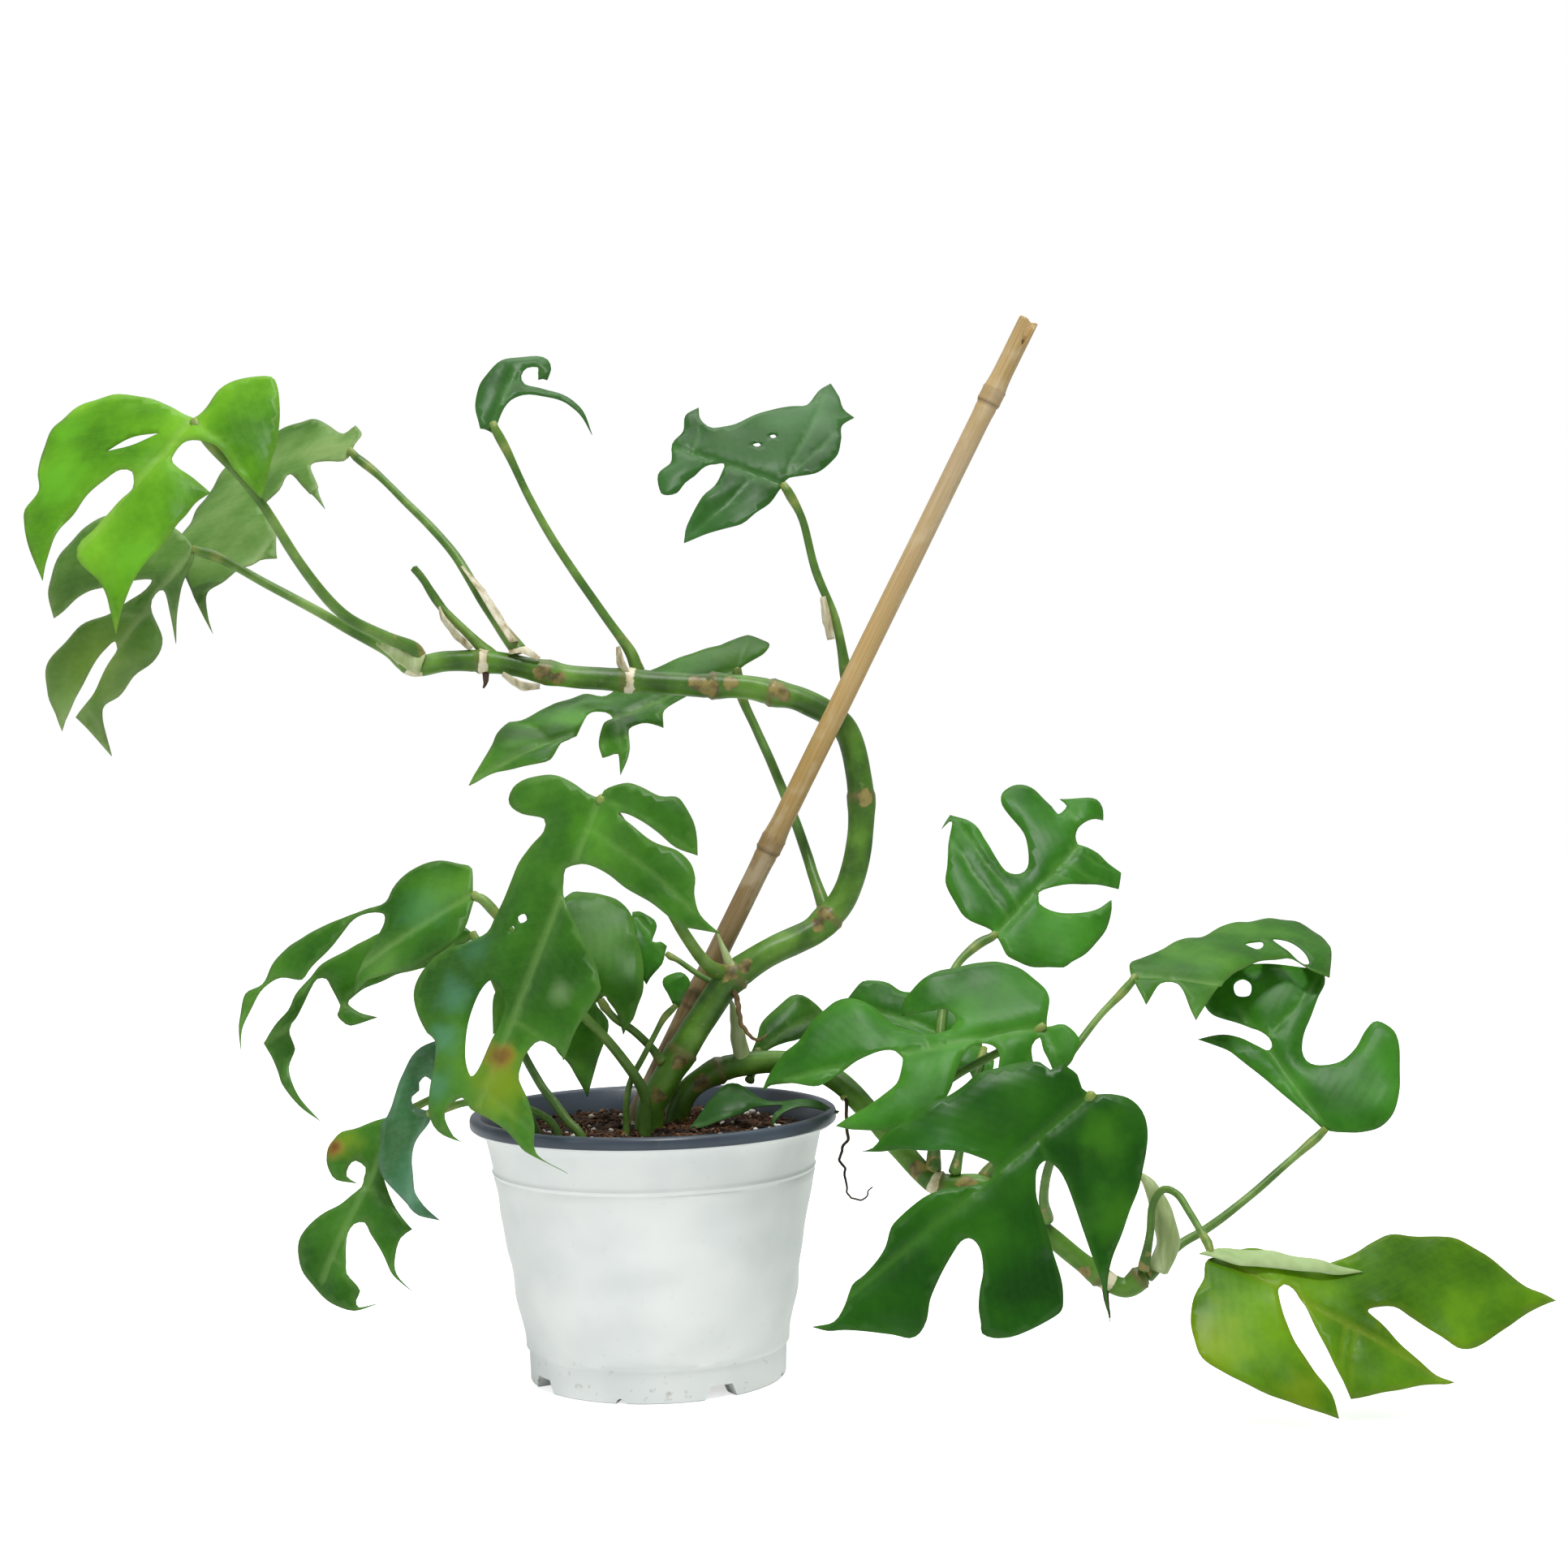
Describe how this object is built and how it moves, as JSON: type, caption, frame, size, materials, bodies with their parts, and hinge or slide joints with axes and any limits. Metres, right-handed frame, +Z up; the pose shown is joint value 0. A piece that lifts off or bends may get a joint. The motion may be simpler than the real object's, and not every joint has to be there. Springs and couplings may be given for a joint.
{
  "type": "potted rhaphidophora",
  "caption": "Climbing vine with split, lobed leaves in a tapered plastic nursery pot, beside a slanting bamboo stake; stands free on its foot ring.",
  "frame": {"origin": "middle of the pot's underside, on the surface it stands on", "axes": "+Z up, -Y to the front, +X along the plant's spread, to the trailing stem's side"},
  "size_m": [0.6056, 0.2059, 0.4296],
  "materials": {
    "pot": "moulded polypropylene, white outside, slate grey inside and on the rim",
    "soil": "peat and coir potting mix with perlite",
    "bamboo": "dry bamboo cane, satin",
    "stem": "living green stem, waxy",
    "young_leaf": "young leaf, semi-gloss",
    "leaf": "mature leaf, semi-gloss",
    "dark_leaf": "dark leaf, glossy",
    "sheath": "dry papery sheath, matte",
    "root": "thin dry aerial root, matte"
  },
  "bodies": {
    "root": {"pot": "pot", "soil": "soil", "bamboo_stake": "bamboo", "vine_main": "stem", "vine_trailing": "stem", "crown_front_blade": "young_leaf", "crown_front_petiole": "stem", "crown_low_blade": "leaf", "crown_low_petiole": "stem", "crown_back_blade": "leaf", "crown_back_petiole": "stem", "crown_small_blade": "young_leaf", "crown_small_petiole": "stem", "crown_right_blade": "dark_leaf", "crown_right_petiole": "stem", "back_left_blade": "leaf", "back_left_petiole": "stem", "front_centre_blade": "leaf", "front_centre_petiole": "stem", "centre_back_blade": "leaf", "centre_back_petiole": "stem", "young_upper_blade": "young_leaf", "young_upper_petiole": "stem", "young_lower_blade": "young_leaf", "young_lower_petiole": "stem", "left_upper_blade": "leaf", "left_upper_petiole": "stem", "left_lower_blade": "leaf", "left_lower_petiole": "stem", "rim_left_blade": "dark_leaf", "rim_left_petiole": "stem", "low_left_blade": "young_leaf", "low_left_petiole": "stem", "right_upper_blade": "leaf", "right_upper_petiole": "stem", "right_front_blade": "dark_leaf", "right_front_petiole": "stem", "right_middle_blade": "dark_leaf", "right_middle_petiole": "stem", "small_right_blade": "dark_leaf", "small_right_petiole": "stem", "over_rim_blade": "leaf", "over_rim_petiole": "stem", "low_front_blade": "dark_leaf", "low_front_petiole": "stem", "far_right_top_blade": "young_leaf", "far_right_top_petiole": "stem", "far_right_blade": "leaf", "far_right_petiole": "stem", "low_right_blade": "young_leaf", "low_right_petiole": "stem", "cut_petiole": "stem", "node_sheath": "sheath", "aerial_root": "root", "hanging_root": "root", "trailing_sheath": "sheath", "pale_shoot": "sheath"}
  },
  "joints": []
}
